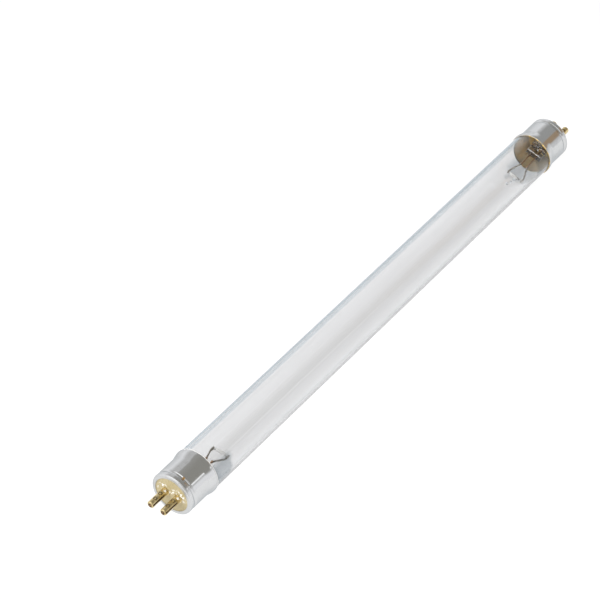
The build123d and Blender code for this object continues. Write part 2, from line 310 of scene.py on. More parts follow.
class LampWireSettings(bpy.types.PropertyGroup):
    """Sizes and finish of the wires and the cathodes."""

    seal_radius: size("Seal wire radius", 0.25, "Radius of a seal wire")
    seal_pitch: size("Seal wire pitch", 2.2, "Distance between the two wires of a stem")
    seal_reach: size("Seal wire reach", 5.6, "From the pinch to the knot")
    seal_straight: size("Seal wire straight", 0.6, "Straight length that leaves the pinch")
    seal_drop: size("Seal wire drop", 0.5, "How far the knot lies under the axis")
    seal_bend: size("Seal wire bend", 3.0, "Radius of the wire's bend")
    knot_radius: size("Knot radius", 0.45, "Radius of the welded knot")
    knot: size("Knot", 0.9, "Length of the welded knot")
    inner_radius: size("Inner lead radius", 0.3, "Radius of an inner lead")
    inner_reach: size("Inner lead reach", 4.2, "From the knot to the clamp")
    inner_drop: size("Inner lead drop", 1.3, "How far the clamp lies under the knot")
    tip_pitch: size("Tip pitch", 5.6, "Distance between the two clamps of an end")
    clamp: size("Clamp", 2.0, "Length of the clamp")
    clamp_height: size("Clamp height", 0.9, "Height of the clamp")
    clamp_width: size("Clamp width", 0.55, "Width of the folded clamp")
    clamp_to_leg: size("Clamp to leg", 1.2, "From the clamp's start to the cathode's leg")
    coil_radius: size("Coil radius", 0.42, "Radius of the cathode coil")
    coil: size("Coil", 3.9, "Length of the cathode coil")
    turns: count("Turns", 7, "Turns of the cathode coil")
    strand: size("Strand", 0.15, "Radius of the coiled strand")
    strand_wire: size("Strand wire", 0.052, "Radius of the fine wire wound into the strand")
    strand_pitch: size("Strand pitch", 0.15, "Pitch of the fine wire")
    leg_over: size("Leg over", 0.2, "How far a leg stands out of its clamp")
    seal_sides: count("Seal wire sides", 24, "Steps round a seal wire")
    knot_segments: count("Knot segments", 32, "Steps round a knot")
    inner_sides: count("Inner lead sides", 28, "Steps round an inner lead")
    strand_sides: count("Strand wire sides", 8, "Steps round the fine wire")
    core_sides: count("Core sides", 12, "Steps round the strand's core")
    leg_sides: count("Leg sides", 20, "Steps round a leg")
    copper: tint("Copper", (0.72, 0.36, 0.18), "Outer leads")
    sealed: tint("Sealed copper", (0.5, 0.31, 0.18), "Seal wires")
    sealed_dark: tint("Dark sealed copper", (0.24, 0.15, 0.09), "Heat marks on the seal wires")
    nickel: tint("Nickel", (0.5, 0.47, 0.43), "Inner leads")
    nickel_dark: tint("Dark nickel", (0.22, 0.2, 0.17), "Heat marks on the inner leads")
    oxide: tint("Oxide", (0.95, 0.95, 0.94), "White coat of the cathode")
    oxide_dark: tint("Dark oxide", (0.88, 0.88, 0.86), "Coat in its hollows")
    bare: tint("Bare wire", (0.45, 0.45, 0.44), "Bare ends of the cathode")


class LampStageSettings(bpy.types.PropertyGroup):
    """Camera, floor and light."""

    camera_place: FloatVectorProperty(
        name="Camera place", description="Where the camera stands", default=(-0.49675, -0.29694, 0.55167),
        size=3, unit="LENGTH", subtype="TRANSLATION")
    camera_aim: FloatVectorProperty(
        name="Camera aim", description="What the camera points at", default=(-0.014, 0.0198, -0.00088),
        size=3, unit="LENGTH", subtype="TRANSLATION")
    camera_roll: turn("Camera roll", 3.98, "Turn of the camera about its line of sight")
    sensor: FloatProperty(name="Sensor", description="Width of the sensor", default=36.0, unit="CAMERA")
    lens: FloatProperty(name="Lens", description="Focal length", default=149.45, unit="CAMERA")
    floor_side: size("Floor side", 6000, "Side of the floor")
    floor: tint("Floor", (0.16, 0.16, 0.16), "Plain pale floor")
    floor_glow: amount("Floor glow", 0.955, "Light that the floor gives off")
    rear_loss: share("Rear loss", 0.08, "Glow that the floor loses behind the lamp")
    right_loss: share("Right loss", 0.04, "Glow that the floor loses at the lamp's right end")
    light: tint("Light walls", (0.88, 0.88, 0.892), "Soft light from all round")
    dark: tint("Dark overhead", (0.37, 0.36, 0.33), "Unlit room beyond the lamp")
    pale_wall: tint("Pale wall", (0.445, 0.445, 0.435), "Wall past the lamp's right end")
    brown_wall: tint("Brown wall", (0.46, 0.34, 0.23), "Lower part of that wall")
    fair_gain: amount("Fair gain", 1.22, "How much brighter than the walls the fair bands are")
    slit: amount("Slit", 1.6, "Light of the slit beside the lamp")
    box: amount("Light box", 4.6, "Light of the box overhead")
    small_box: amount("Small light box", 2.6, "Light of the small box ahead")
    mirror_limit: amount("Mirror limit", 1.45, "Most light that a mirrored ray sees")


# Shapes


def rounded(points, radii, step=radians(7)):
    """An open outline with an arc at each inner corner that has a radius."""
    corners = [Vector(p) for p in points]
    path = [corners[0]]
    for before, corner, after, radius in zip(corners, corners[1:], corners[2:], radii):
        back = (before - corner).normalized()
        ahead = (after - corner).normalized()
        bend = back.angle(ahead)
        sweep = pi - bend
        if not radius or sweep < step / 10:
            path.append(corner)
            continue
        reach = radius / tan(bend / 2)
        centre = corner + (back + ahead).normalized() * radius / sin(bend / 2)
        first = corner + back * reach - centre
        last = corner + ahead * reach - centre
        steps = max(2, ceil(sweep / step))
        for i in range(steps + 1):
            part = sweep * i / steps
            path.append(centre + (first * sin(sweep - part) + last * sin(part)) / sin(sweep))
    path.append(corners[-1])
    return path


def skin(rings):
    """A closed surface through rings of points, where a ring of one point closes an end."""
    bm = bmesh.new()
    loops = [[bm.verts.new(p) for p in ring] for ring in rings]
    for one, two in zip(loops, loops[1:]):
        steps = max(len(one), len(two))
        for k in range(steps):
            after = k + 1
            corners = [one[k % len(one)], one[after % len(one)], two[after % len(two)], two[k % len(two)]]
            bm.faces.new(dict.fromkeys(corners))
    bmesh.ops.remove_doubles(bm, verts=bm.verts, dist=POLE)
    bmesh.ops.recalc_face_normals(bm, faces=bm.faces)
    return bm


def lathe(outline, segments, warp=None):
    """Turn an outline of distance and radius points about the lamp's axis."""
    rings = []
    for distance, radius in outline:
        if radius < POLE:
            rings.append([(distance, 0, 0)])
            continue
        ring = []
        for k in range(segments):
            angle = 2 * pi * k / segments
            d, r = warp(distance, radius, angle) if warp else (distance, radius)
            ring.append((d, r * cos(angle), r * sin(angle)))
        rings.append(ring)
    return skin(rings)


def closed(outline):
    """The outline with its first point repeated at its end."""
    return list(outline) + [outline[0]]


def frames_along(path):
    """A point, two cross directions and a heading for each point of a path, with no twist."""
    heading = (path[1] - path[0]).normalized()
    across = heading.orthogonal().normalized()
    for i, point in enumerate(path):
        new = (path[min(i + 1, len(path) - 1)] - path[max(i - 1, 0)]).normalized()
        across = heading.rotation_difference(new) @ across
        heading = new
        yield point, across, heading.cross(across), heading


def wire_rings(path, radius, sides):
    """Rings of a round wire along a path, closed at both ends."""
    rings = [[path[0]]]
    for point, across, up, _ in frames_along(path):
        steps = [2 * pi * k / sides for k in range(sides)]
        rings.append([point + radius * (cos(a) * across + sin(a) * up) for a in steps])
    return rings + [[path[-1]]]


def oval(x, half_y, half_z, power, segments, centre=(0, 0)):
    """A ring across the lamp's axis, from an ellipse at power 2 to a rounded oblong at a higher power."""
    ring = []
    for k in range(segments):
        angle = 2 * pi * k / segments
        y = abs(cos(angle)) ** (2 / power) * (1 if cos(angle) >= 0 else -1)
        z = abs(sin(angle)) ** (2 / power) * (1 if sin(angle) >= 0 else -1)
        ring.append(Vector((x, centre[0] + half_y * y, centre[1] + half_z * z)))
    return ring


def ease(a, b, t):
    """A smooth step from a to b."""
    t = min(max(t, 0.0), 1.0)
    return a + (b - a) * t * t * (3 - 2 * t)


def bump_at(offset, spread):
    """A smooth hump, 1 at no offset."""
    return exp(-((offset / spread) ** 2))


def place_of(end):
    """The matrix that puts a drawn end at the left or right of the lamp."""
    if end == "left":
        return Matrix.Translation((-FACE, 0, 0))
    return Matrix.Translation((FACE, 0, 0)) @ Matrix.Rotation(pi, 4, "Z")


def mount_of(end, stem):
    """The matrix that sets the pinch and wires of the right end off the axis, turned and leaning."""
    if end == "left":
        return Matrix.Identity(4)
    floor = Matrix.Translation((stem_stations(stem)[1] + stem.hollow, 0, 0))
    lean = Matrix.Rotation(-stem.mount_turn, 4, "X") @ Matrix.Rotation(stem.mount_lean, 4, "Z")
    return Matrix.Translation((0, stem.mount_shift, 0)) @ floor @ lean @ floor.inverted()


def join(*surfaces):
    """One set of surfaces from several."""
    whole = bmesh.new()
    for bm in surfaces:
        part = bpy.data.meshes.new("part")
        bm.to_mesh(part)
        bm.free()
        whole.from_mesh(part)
        bpy.data.meshes.remove(part)
    return whole


def bored(surface, cutter):
    """A surface with another one cut out of it."""
    made = []
    for name, bm in (("blank", surface), ("cutter", cutter)):
        mesh = bpy.data.meshes.new(name)
        bm.to_mesh(mesh)
        bm.free()
        made.append(bpy.data.objects.new(name, mesh))
        bpy.context.scene.collection.objects.link(made[-1])
    cut = made[0].modifiers.new("cut", "BOOLEAN")
    cut.operation = "DIFFERENCE"
    cut.solver = "EXACT"
    cut.object = made[1]
    ready = made[0].evaluated_get(bpy.context.evaluated_depsgraph_get())
    whole = bmesh.new()
    whole.from_mesh(ready.to_mesh())
    ready.to_mesh_clear()
    for piece in made:
        mesh = piece.data
        bpy.data.objects.remove(piece)
        bpy.data.meshes.remove(mesh)
    bmesh.ops.remove_doubles(whole, verts=whole.verts, dist=POLE)
    return whole


def add_piece(name, bm, finish, nodes, place=None):
    """Make a piece of the lamp that stands for some of its solids."""
    if place:
        bmesh.ops.transform(bm, matrix=place, verts=bm.verts)
    mesh = bpy.data.meshes.new(name)
    bm.to_mesh(mesh)
    bm.free()
    mesh.shade_smooth()
    mesh.set_sharp_from_angle(angle=SHARP)
    mesh.materials.append(finish)
    piece = bpy.data.objects.new(name, mesh)
    bpy.context.scene.collection.objects.link(piece)
    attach(piece, BODY)
    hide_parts(*nodes)
    return piece


def dress(node, finish):
    """Give a carried-over solid its finish."""
    slots = frame["nodes"][node].data.materials
    slots.clear()
    slots.append(finish)


def set_mark(piece, values):
    """Store a number, which may be below 0, at each point of a piece, for its finish to read."""
    layer = piece.data.attributes.new(MARK, "FLOAT", "POINT")
    layer.data.foreach_set("value", values)


# Finishes


def new_finish(name):
    """An empty material and its node tree."""
    material = bpy.data.materials.new(name)
    material.use_nodes = True
    material.node_tree.nodes.clear()
    return material, material.node_tree


def node(tree, kind, inputs=None, **settings):
    """Add a node, with values or links for its inputs."""
    made = tree.nodes.new(kind)
    for key, value in settings.items():
        setattr(made, key, value)
    for key, value in (inputs or {}).items():
        if isinstance(value, bpy.types.NodeSocket):
            tree.links.new(value, made.inputs[key])
        else:
            made.inputs[key].default_value = value
    return made


def solid(colour):
    """A colour with its alpha."""
    return (*colour, 1.0)


def grain(tree, scale, detail=3.0, roughness=0.55):
    """Noise over the piece, with one scale, or one for each axis, in features per metre."""
    scales = scale if isinstance(scale, tuple) else (scale, scale, scale)
    coords = node(tree, "ShaderNodeTexCoord")
    spread = node(tree, "ShaderNodeMapping", {"Vector": coords.outputs["Object"], "Scale": scales})
    made = node(tree, "ShaderNodeTexNoise", {
        "Vector": spread.outputs["Vector"], "Scale": 1.0, "Detail": detail, "Roughness": roughness})
    return made.outputs["Fac"]


def between(tree, factor, low, high, start=0.35, end=0.65):
    """A colour from low to high as the factor goes from start to end."""
    ramp = node(tree, "ShaderNodeValToRGB", {"Fac": factor})
    ramp.color_ramp.elements[0].position = start
    ramp.color_ramp.elements[0].color = solid(low)
    ramp.color_ramp.elements[1].position = end
    ramp.color_ramp.elements[1].color = solid(high)
    return ramp.outputs["Color"]


def ranged(tree, factor, low, high, start=0.3, end=0.7):
    """A number from low to high as the factor goes from start to end."""
    made = node(tree, "ShaderNodeMapRange", {
        "Value": factor, "From Min": start, "From Max": end, "To Min": low, "To Max": high})
    return made.outputs["Result"]


def blended(tree, factor, one, two):
    """A mix of two colours."""
    made = node(tree, "ShaderNodeMix", data_type="RGBA")
    for key, value in ((0, factor), (6, one), (7, two)):
        if isinstance(value, bpy.types.NodeSocket):
            tree.links.new(value, made.inputs[key])
        else:
            made.inputs[key].default_value = value if key == 0 else solid(value)
    return made.outputs[2]


def maths(tree, kind, *values):
    """A sum, product or the like of numbers."""
    return node(tree, "ShaderNodeMath", dict(enumerate(values)), operation=kind).outputs[0]


def product(tree, one, two):
    """Two numbers multiplied."""
    return maths(tree, "MULTIPLY", one, two)


def rising(tree, factor, start, end):
    """A number that goes from 0 to 1 as the factor goes from start to end."""
    return ranged(tree, factor, 0.0, 1.0, start, end)


def falling(tree, factor, start, end):
    """A number that goes from 1 to 0 as the factor goes from start to end."""
    return ranged(tree, factor, 1.0, 0.0, start, end)


def relief(tree, height, depth, strength=1.0):
    """A bumped normal."""
    made = node(tree, "ShaderNodeBump", {"Height": height, "Distance": depth, "Strength": strength})
    return made.outputs["Normal"]


def close(tree, inputs, volume=None):
    """The shader and output that end a finish."""
    shader = node(tree, "ShaderNodeBsdfPrincipled", inputs)
    out = node(tree, "ShaderNodeOutputMaterial", {"Surface": shader.outputs["BSDF"]})
    if volume:
        tree.links.new(volume, out.inputs["Volume"])


def spot_of(tree):
    """Where a point of the lamp lies, and how far it is from the lamp's middle along the lamp."""
    whole = node(tree, "ShaderNodeTexCoord").outputs["Object"]
    axes = node(tree, "ShaderNodeSeparateXYZ", {"Vector": whole}).outputs
    return Spot(whole, axes["X"], axes["Y"], axes["Z"], maths(tree, "ABSOLUTE", axes["X"]))


def off_line(tree, y, z):
    """Distance of a point from a line along the lamp."""
    across = node(tree, "ShaderNodeCombineXYZ", {"Y": y, "Z": z}).outputs["Vector"]
    return node(tree, "ShaderNodeVectorMath", {0: across}, operation="LENGTH").outputs["Value"]


def mark_of(tree):
    """The number that a piece stores at its points."""
    return node(tree, "ShaderNodeAttribute", attribute_name=MARK).outputs["Fac"]


def tube_finish(settings):
    """Clear drawn glass: lengthwise streaks, a little haze, a painted shadow along the bottom, a film near
    the cathodes, tinted edges with painted shade and a painted bluish reflection.
    """
    material, tree = new_finish("clear_tube_glass")
    spot = spot_of(tree)
    radius = settings.radius
    glass = between(tree, grain(tree, (14, 160, 160), 2.0), settings.shaded, settings.clear)
    side_fade = 0.3 * radius
    low_full, low_end, under_end = -0.9 * radius, -0.75 * radius, -0.5 * radius
    # Painted shadow: the glass is greyer along its bottom, where the floor under the lamp lies in shade.
    low = falling(tree, spot.z, low_full, low_end)
    with_painted_shadow = blended(tree, low, glass, settings.painted_shadow)

    ragged = ranged(tree, grain(tree, 240, 4.0), -settings.film_ragged, settings.film_ragged)
    film_full = FACE - settings.film_full
    reach = maths(tree, "ADD", spot.along, ragged)
    near_end = rising(tree, reach, film_full - settings.film_fade, film_full)
    forward = node(tree, "ShaderNodeVectorMath", {0: spot.whole, 1: FILM_SIDE}, operation="DOT_PRODUCT")
    front = rising(tree, forward.outputs["Value"], 0.0, side_fade)
    bottom = falling(tree, spot.z, low_end, under_end)
    film = product(tree, near_end, maths(tree, "MAXIMUM", front, bottom))
    filmed = blended(tree, film, with_painted_shadow, settings.film)

    # Painted shade and reflection: seen edge on, the outer surface and the bore are painted darker, and the
    # rear side gets a painted bluish reflection.
    grazed = node(tree, "ShaderNodeLayerWeight", {"Blend": 0.5}).outputs["Facing"]
    edge_start, edge_full = 0.6, 0.73
    rear_start, rear_full, rear_outer_shift = 0.52, 0.62, 0.07
    bore = radius - settings.wall
    off_axis = off_line(tree, spot.y, spot.z)
    outside = rising(tree, off_axis, bore + 0.4 * settings.wall, bore + 0.6 * settings.wall)
    rim = blended(tree, outside, settings.bore_edge_shade, settings.rim)
    edged = blended(tree, rising(tree, grazed, edge_start, edge_full), filmed, rim)
    rear_edge_reflection = blended(tree, outside, settings.rear_bore_reflection, settings.rear_edge_reflection)
    rear_grazed = maths(tree, "SUBTRACT", grazed, product(tree, outside, rear_outer_shift))
    rear_edged = blended(tree, rising(tree, rear_grazed, rear_start, rear_full), filmed, rear_edge_reflection)
    colour = blended(tree, rising(tree, spot.y, 0.0, side_fade), edged, rear_edged)

    streaks = grain(tree, (9, 1500, 1500), 2.0)
    haze = ranged(tree, grain(tree, (60, 400, 400), 4.0), 0.0, 0.035, 0.45, 0.75)
    absorption = node(tree, "ShaderNodeVolumeAbsorption", {
        "Color": solid(settings.absorbed), "Density": settings.density})
    close(tree, {
        "Base Color": colour, "Roughness": haze, "IOR": GLASS_IOR, "Transmission Weight": 1.0,
        "Normal": relief(tree, streaks, 0.004 * MM, 0.5)}, absorption.outputs["Volume"])
    return material


def stem_finish(settings):
    """Pressed glass with soft waves and faint streaks, browned at its bell, and white at its edges: frosting
    that also serves as painted highlights.
    """
    material, tree = new_finish("pressed_stem_glass")
    waves = grain(tree, (420, 700, 700), 2.0)
    streaked = between(tree, grain(tree, (300, 900, 900), 3.0), settings.shaded, settings.clear)
    haze = ranged(tree, grain(tree, 900, 3.0), 0.0, 0.06, 0.4, 0.8)
    ragged = product(tree, mark_of(tree), ranged(tree, grain(tree, 1600, 3.0), 0.5, 1.5))
    # Frosting and painted highlight: the pinch's edges are white and less clear.
    frosted_and_highlit = rising(tree, ragged, 0.35, 0.7)
    bell = FACE - stem_stations(settings)[1]
    fade = settings.brown_fade
    brown = ranged(tree, spot_of(tree).along, 0.0, settings.brown_cover, bell - fade, bell + fade)
    clear = maths(tree, "SUBTRACT", 1.0, brown)
    full_colour = 1.18
    colour = blended(tree, product(tree, brown, full_colour), streaked, settings.browned)
    close(tree, {
        "Base Color": blended(tree, frosted_and_highlit, colour, settings.frost_and_highlight), "IOR": STEM_IOR,
        "Roughness": maths(tree, "ADD", haze, product(tree, frosted_and_highlit, 0.5)),
        "Transmission Weight": product(tree, clear, ranged(tree, frosted_and_highlit, 1.0, 0.1, 0.0, 1.0)),
        "Normal": relief(tree, waves, 0.02 * MM, 0.6)})
    return material


def cap_finish(settings):
    """Bright drawn aluminium: lengthwise lines, duller marks, a dull lip, thin cement inside where it is
    marked above 0, a brown spot where it is marked below 0.
    """
    material, tree = new_finish("drawn_aluminium")
    lines = grain(tree, (90, 5200, 5200), 3.0)
    marks = grain(tree, (260, 420, 420), 5.0, 0.65)
    bright = between(tree, marks, settings.dull, settings.metal, 0.28, 0.46)
    mark = mark_of(tree)
    smeared = rising(tree, product(tree, mark, ranged(tree, marks, 0.7, 1.3)), 0.3, 0.7)
    on_groove_spot = falling(tree, mark, -0.7, -0.3)
    colour = blended(tree, smeared, blended(tree, on_groove_spot, bright, settings.groove_spot), settings.smear)
    shine = ranged(tree, marks, 0.2, 0.1, 0.3, 0.6)
    lip_start, lip_full = FACE - 0.8 * MM, FACE - 0.1 * MM
    lip = ranged(tree, spot_of(tree).along, 0.0, 0.3, lip_start, lip_full)
    matt = product(tree, maths(tree, "ADD", smeared, on_groove_spot), 0.5)
    close(tree, {
        "Base Color": colour, "Roughness": maths(tree, "ADD", maths(tree, "ADD", shine, lip), matt),
        "Metallic": falling(tree, smeared, 0.0, 1.0), "Specular Tint": solid(settings.metal_edge),
        "Normal": relief(tree, lines, 0.0012 * MM, 0.6)})
    return material


def cement_finish(name, settings, edge_colours):
    """Baked cement: grainy brown, and of another colour where it thins out at the mouth, with specks; at the
    left end that colour is a painted highlight.
    """
    material, tree = new_finish(name)
    spot = spot_of(tree)
    plain, specked, rear_side = edge_colours
    body = between(tree, grain(tree, 420, 5.0), settings.cement, settings.cement_light, 0.4, 0.65)
    edge = between(tree, grain(tree, 900, 2.0), plain, specked, 0.48, 0.56)
    rear_start, rear_full = 1.5 * MM, 4.5 * MM
    edge = blended(tree, rising(tree, spot.y, rear_start, rear_full), edge, rear_side)
    mouth, thin_length = FACE - CAP_LENGTH, 0.3 * MM
    thin = falling(tree, spot.along, mouth, mouth + thin_length)
    lumps = grain(tree, 2600, 4.0)
    close(tree, {
        "Base Color": blended(tree, thin, body, edge), "Roughness": ranged(tree, lumps, 0.5, 0.8),
        "Specular IOR Level": 0.35, "Normal": relief(tree, lumps, 0.06 * MM, 0.6)})
    return material


def board_finish(settings):
    """Tan laminated board: matted fibres, a little gloss, painted highlights as bright specks above the
    pins, painted shade on its lower side.
    """
    material, tree = new_finish("tan_board")
    spot = spot_of(tree)
    fibres = grain(tree, (500, 2100, 900), 5.0, 0.6)
    colour = between(tree, fibres, settings.board_dark_and_shade, settings.board, 0.3, 0.62)
    glints_full, glints_end = 2.6 * MM, 3.4 * MM
    high_start, high_full = -1.2 * MM, 0.4 * MM
    shade_full, shade_end = -3.0 * MM, 0.5 * MM
    # Painted highlight: bright specks on the board, round each pin and on its upper side only.
    across = maths(tree, "SUBTRACT", maths(tree, "ABSOLUTE", spot.y), PIN_PITCH / 2)
    round_pin = falling(tree, off_line(tree, across, spot.z), glints_full, glints_end)
    high = rising(tree, spot.z, high_start, high_full)
    specks = rising(tree, grain(tree, 1050, 2.0), 0.56, 0.585)
    glinted = product(tree, specks, product(tree, round_pin, high))
    colour = blended(tree, glinted, colour, settings.board_glint)
    # Painted shade: the board is darker towards its lower side, below the pins.
    shade = ranged(tree, spot.z, 0.75, 0.0, shade_full, shade_end)
    colour = blended(tree, shade, colour, settings.board_dark_and_shade)
    close(tree, {
        "Base Color": colour, "Roughness": ranged(tree, fibres, 0.55, 0.36), "Coat Weight": 0.15,
        "Coat Roughness": 0.25, "Normal": relief(tree, fibres, 0.03 * MM, 0.5)})
    return material


def brass_finish(settings):
    """Drawn brass with dull patches; where it is marked above 0, tarnish with painted shade and a painted
    dark reflection, and below 0 a painted glint.
    """
    material, tree = new_finish("drawn_brass")
    dull = grain(tree, (700, 1100, 1100), 4.0, 0.6)
    plain = between(tree, dull, settings.brass_dark, settings.brass, 0.3, 0.58)
    mark = mark_of(tree)
    ragged = product(tree, mark, ranged(tree, grain(tree, 2400, 3.0), 0.55, 1.35))
    # Tarnish with painted shade and reflection where the mark is above 0.
    tarnish_and_shade = rising(tree, ragged, 0.12, 0.36)
    # Painted highlight where the mark is below 0: a bright, less metallic spot.
    painted_glint = falling(tree, mark, -0.6, -0.4)
    colour = blended(tree, painted_glint, blended(tree, tarnish_and_shade, plain, settings.tarnish_and_shade), settings.glint)
    lines = grain(tree, (260, 9000, 9000), 2.0)
    close(tree, {
        "Base Color": colour, "Metallic": ranged(tree, painted_glint, 1.0, 0.2, 0.0, 1.0),
        "Roughness": ranged(tree, ragged, 0.2, 0.55, 0.2, 0.6),
        "Normal": relief(tree, lines, 0.002 * MM, 0.5)})
    return material


def wire_finish(name, bright, dark, metallic, roughness):
    """Drawn wire with heat marks along it."""
    material, tree = new_finish(name)
    heat = grain(tree, (420, 900, 900), 4.0, 0.6)
    lines = grain(tree, (2500, 9000, 9000), 2.0)
    close(tree, {
        "Base Color": between(tree, heat, dark, bright, 0.36, 0.62), "Metallic": metallic,
        "Roughness": ranged(tree, heat, roughness + 0.2, roughness),
        "Normal": relief(tree, lines, 0.004 * MM, 0.6)})
    return material


def cathode_finish(settings):
    """White oxide over the coil, bare dark wire at its legs."""
    material, tree = new_finish("oxide_coat")
    coat_end, bare_start = settings.coil / 2 - 0.35 * MM, settings.coil / 2 + 0.05 * MM
    bare = rising(tree, maths(tree, "ABSOLUTE", spot_of(tree).y), coat_end, bare_start)
    crumbs = grain(tree, 7000, 3.0)
    coat = between(tree, crumbs, settings.oxide_dark, settings.oxide, 0.25, 0.6)
    close(tree, {
        "Base Color": blended(tree, bare, coat, settings.bare),
        "Roughness": ranged(tree, bare, 0.85, 0.4, 0.0, 1.0),
        "Metallic": product(tree, bare, 0.9), "Normal": relief(tree, crumbs, 0.03 * MM, 0.7)})
    return material


def mercury_finish(settings):
    """Liquid metal with a faint skin."""
    material, tree = new_finish("liquid_metal")
    skin_marks = grain(tree, 1800, 3.0)
    close(tree, {
        "Base Color": between(tree, skin_marks, settings.mercury_dull, settings.mercury), "Metallic": 0.45,
        "Roughness": ranged(tree, skin_marks, 0.35, 0.5)})
    return material


def floor_finish(settings):
    """Plain pale floor that glows, as a lit table does, a little less behind the lamp and to its right."""
    material, tree = new_finish("pale_floor")
    spot = spot_of(tree)
    pale = settings.floor
    rear_start, rear_full = 4 * MM, 30 * MM
    right_start, right_full = -50 * MM, 100 * MM
    rear = ranged(tree, spot.y, 0.0, settings.rear_loss, rear_start, rear_full)
    right = ranged(tree, spot.x, 0.0, settings.right_loss, right_start, right_full)
    close(tree, {
        "Base Color": between(tree, grain(tree, 40, 2.0), [0.99 * c for c in pale], pale), "Roughness": 0.9,
        "Specular IOR Level": 0.0, "Emission Color": (1.0, 1.0, 1.0, 1.0),
        "Emission Strength": maths(tree, "SUBTRACT", settings.floor_glow, maths(tree, "ADD", rear, right))})
    return material


# Stations along an end, from the end face inwards


def tube_stations(settings):
    """Where the tube ends, its neck ends, and its full radius begins."""
    neck = TUBE_INSET + settings.neck_length
    return TUBE_INSET, neck, neck + settings.neck_slope


def stem_stations(settings):
    """Where the seal, flare, blend and pinch of a stem end."""
    seal = TUBE_INSET + settings.seal
    flare = seal + settings.flare
    blend = flare + settings.blend
    return seal, flare, blend, blend + settings.pinch


def knot_station(scene):
    """Where the seal wires end in their knots."""
    return stem_stations(scene.lamp_stem)[3] + scene.lamp_wire.seal_reach


def clamp_height_of(wire):
    """How high the clamps and the cathode lie."""
    return -wire.seal_drop - wire.inner_drop


# Operators


class LAMP_OT_tube(bpy.types.Operator):
    """Make the clear tube with its drawn-in necks"""

    bl_idname = "lamp.tube"
    bl_label = "Glass tube"

    def execute(self, context):
        tube = context.scene.lamp_tube

        def wall(inset):
            """The outline of the tube, or of its bore with an inset."""
            end, neck, full = tube_stations(tube)
            small = tube.radius - tube.neck_drop - inset
            half = [(end, small), (neck, small), (full, tube.radius - inset)]
            left = [(u - FACE, r) for u, r in half]
            right = [(FACE - u, r) for u, r in reversed(half)]
            return rounded(left + right, [tube.neck_blend] * 4)

        inside = list(reversed(wall(tube.wall)))
        outline = closed(wall(0) + inside)
        glass = lathe(outline, tube.segments)
        add_piece("clear_tube", glass, tube_finish(tube), ["glass_tube"])
        return {"FINISHED"}


class LAMP_OT_caps(bpy.types.Operator):
    """Make the two spun caps with their rim, groove, shoulder and collar"""

    bl_idname = "lamp.caps"
    bl_label = "End caps"

    def execute(self, context):
        cap = context.scene.lamp_cap
        body = TUBE_RADIUS - cap.body_step
        groove_a = cap.rim_length + cap.groove_slope
        groove_b = groove_a + cap.groove_floor
        body_a = groove_b + cap.groove_slope
        shoulder_b = CAP_LENGTH - cap.collar
        shoulder_a = shoulder_b - cap.shoulder

        def side(inset):
            """The cap's side from the rim to the mouth, or its inside with an inset."""
            low = body - cap.groove_depth - inset
            rim = [(cap.rim_length, body - inset), (groove_a, low), (groove_b, low), (body_a, body - inset)]
            mouth = [(shoulder_a, body - inset), (shoulder_b, COLLAR_RADIUS - inset)]
            return rim + mouth + [(CAP_LENGTH, COLLAR_RADIUS - inset)]

        inner_edge = (CAP_LENGTH, COLLAR_RADIUS - cap.sheet)
        lip = body - cap.lip
        groove = [cap.groove_round, cap.groove_hollow, cap.groove_hollow, cap.groove_round]
        rounds = [cap.rim_round, *groove, cap.shoulder_round, cap.shoulder_round, cap.mouth_round]
        outside = rounded([(0, lip), (0, body), *side(0), inner_edge], rounds)
        fold = [(cap.sheet, lip), (cap.sheet, body - cap.rim_round), (cap.rim_round, body - cap.sheet)]
        inside = rounded([*fold, *side(cap.sheet)], [0, 0, *groove, cap.shoulder_round, cap.shoulder_round])
        outline = closed(outside + list(reversed(inside)))
        finish = cap_finish(cap)
        on_inside = cap.sheet / 10
        groove_spot_end = body_a + cap.sheet / 2

        def mark_at(point, end):
            """1 on the inside of the sheet, and below 0 at a brown spot in the left cap's groove."""
            radius = hypot(point.y, point.z)
            if min(hypot(point.x - x, radius - r) for x, r in inside[len(fold):]) < on_inside:
                return 1.0
            if end == "left" and groove_a < point.x < groove_spot_end:
                return -bump_at(body * (atan2(-point.y, point.z) - cap.groove_spot_turn), cap.groove_spot_size)
            return 0.0

        for end in ENDS:
            shell = lathe(outline, cap.segments)
            marks = [mark_at(v.co, end) for v in shell.verts]
            piece = add_piece(f"{end}_cap_shell", shell, finish, [f"{end}_end_cap"], place_of(end))
            set_mark(piece, marks)
        return {"FINISHED"}


